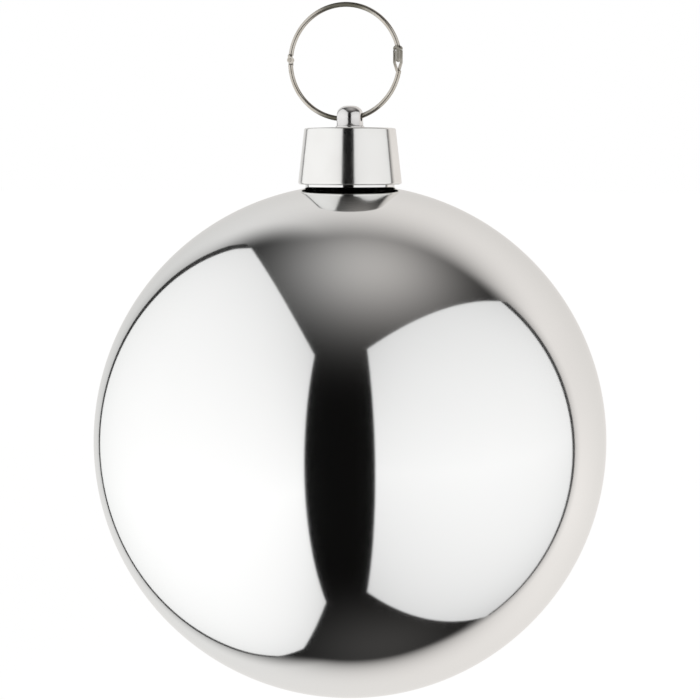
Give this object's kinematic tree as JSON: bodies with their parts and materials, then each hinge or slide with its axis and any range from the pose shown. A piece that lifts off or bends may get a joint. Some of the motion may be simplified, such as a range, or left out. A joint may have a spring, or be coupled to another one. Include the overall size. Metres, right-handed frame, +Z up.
{
  "type": "glass ball ornament",
  "caption": "Large silvered glass ball on a tapered chrome cap, hung from a domed eye by a hinged wire snap ring.",
  "frame": {"origin": "hang point: the inside of the top of the ring, where a hook bears", "axes": "+Z up along the hanging line; the ring lies in the XZ plane, hinge at -X and clasp at +X"},
  "size_m": [0.3, 0.3, 0.4035],
  "materials": {
    "silvered_glass": "silvered inside, bright mirror gloss",
    "gasket_rubber": "matte black",
    "cap_chrome": "bright chrome plate",
    "eye_chrome": "bright chrome plate on a casting",
    "plated_steel": "zinc plate",
    "spring_steel": "drawn spring wire",
    "ring_nickel": "warm grey nickel plate, drawn wire",
    "rivet_nickel": "nickel plate, formed head"
  },
  "bodies": {
    "ring_lower": {"ring_lower_half": "ring_nickel", "ring_rivet": "rivet_nickel"},
    "ring_upper": {"ring_upper_half": "ring_nickel"},
    "hanger": {"hanger_eye": "eye_chrome", "cap": "cap_chrome", "eye_washer": "plated_steel", "eye_nut": "plated_steel", "clip_nut": "plated_steel"},
    "clip": {"spring_clip": "spring_steel"},
    "ball": {"glass_ball": "silvered_glass", "neck_gasket": "gasket_rubber"}
  },
  "joints": [
    {"name": "ring_opening", "type": "hinge", "parent": "ring_lower", "child": "ring_upper", "pos_m": [-0.03226, 0, -0.02938], "axis": [0, -1, 0], "range_deg": [0, 75]},
    {"name": "hanger_swing", "type": "hinge", "parent": "ring_lower", "child": "hanger", "pos_m": [0.0032, 0, -0.06304], "axis": [0.9951, 0, 0.0991], "range_deg": [-90, 90]},
    {"name": "clip_turn", "type": "hinge", "parent": "hanger", "child": "clip", "pos_m": [0.0032, 0, -0.077], "axis": [0, 0, 1], "continuous": true},
    {"name": "ball_pull", "type": "slide", "parent": "clip", "child": "ball", "axis": [0, 0, -1], "range_m": [0, 0.045]}
  ]
}
